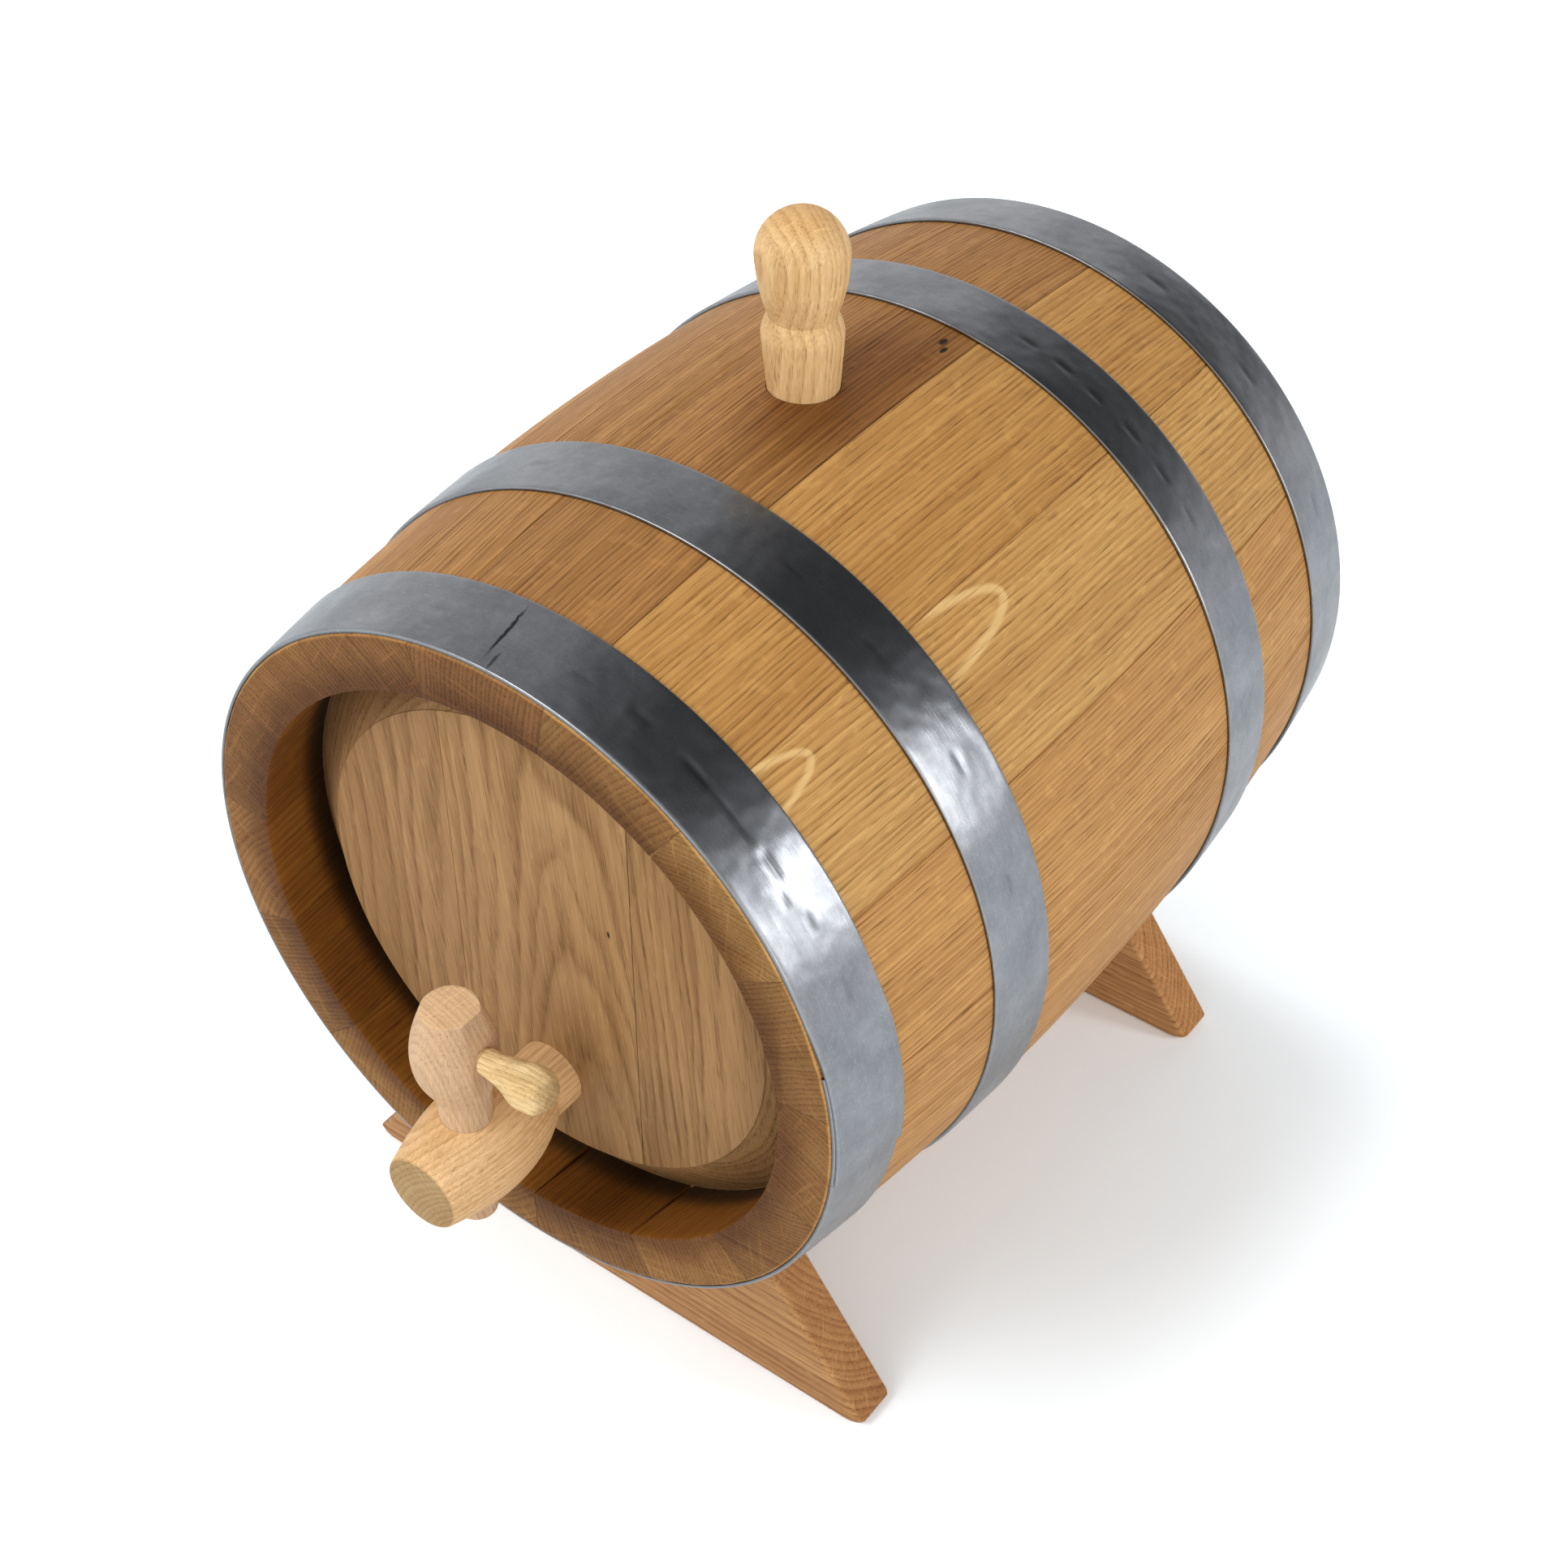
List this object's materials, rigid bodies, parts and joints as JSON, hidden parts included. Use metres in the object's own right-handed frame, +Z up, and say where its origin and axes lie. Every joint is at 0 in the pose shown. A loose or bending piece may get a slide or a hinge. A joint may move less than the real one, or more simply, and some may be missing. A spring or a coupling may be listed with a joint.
{
  "type": "oak cask liquor dispenser",
  "caption": "Small oak cask lying in a plank cradle, with hooped staves, bevelled heads, a turned bung on top and a wooden tap with a turning key at the front.",
  "frame": {"origin": "on the floor at the bottom centre of the whole object's box", "axes": "+Z up, +Y along the cask from the tap end to the rear end, +X to the right as seen from the tap end"},
  "size_m": [0.2748, 0.3692, 0.3888],
  "materials": {
    "stave_oak": "planed, oiled",
    "head_oak": "planed, oiled",
    "hoop_steel": "galvanised, dull",
    "bung_wood": "turned, bare",
    "tap_wood": "turned, bare",
    "key_wood": "turned, bare",
    "peg_wood": "whittled, bare",
    "cradle_oak": "sawn, oiled",
    "dowel_wood": "turned, bare"
  },
  "bodies": {
    "cradle": {"front_plank": "cradle_oak", "rear_plank": "cradle_oak", "left_rail": "cradle_oak", "right_rail": "cradle_oak", "rail_dowels": "dowel_wood"},
    "cask": {"stave_01": "stave_oak", "stave_02": "stave_oak", "stave_03": "stave_oak", "stave_04": "stave_oak", "stave_05": "stave_oak", "stave_06": "stave_oak", "stave_07": "stave_oak", "stave_08": "stave_oak", "stave_09": "stave_oak", "stave_10": "stave_oak", "stave_11": "stave_oak", "stave_12": "stave_oak", "stave_13": "stave_oak", "stave_14": "stave_oak", "stave_15": "stave_oak", "front_head_board_left": "head_oak", "front_head_board_middle": "head_oak", "front_head_board_right": "head_oak", "rear_head_board_left": "head_oak", "rear_head_board_middle": "head_oak", "rear_head_board_right": "head_oak", "front_head_dowels": "dowel_wood", "rear_head_dowels": "dowel_wood", "front_chime_hoop": "hoop_steel", "front_quarter_hoop": "hoop_steel", "rear_quarter_hoop": "hoop_steel", "rear_chime_hoop": "hoop_steel", "tap_body": "tap_wood"},
    "bung": {"bung": "bung_wood"},
    "key": {"tap_key": "key_wood", "key_peg": "peg_wood"}
  },
  "joints": [
    {"name": "cask_lift", "type": "slide", "parent": "cradle", "child": "cask", "axis": [0, 0, 1], "range_m": [0, 0.08]},
    {"name": "bung_pull", "type": "slide", "parent": "cask", "child": "bung", "axis": [-0.0175, 0, 0.9998], "range_m": [0, 0.06]},
    {"name": "key_turn", "type": "hinge", "parent": "cask", "child": "key", "pos_m": [0, -0.1604, 0.131], "axis": [0, 0, -1], "continuous": true}
  ]
}
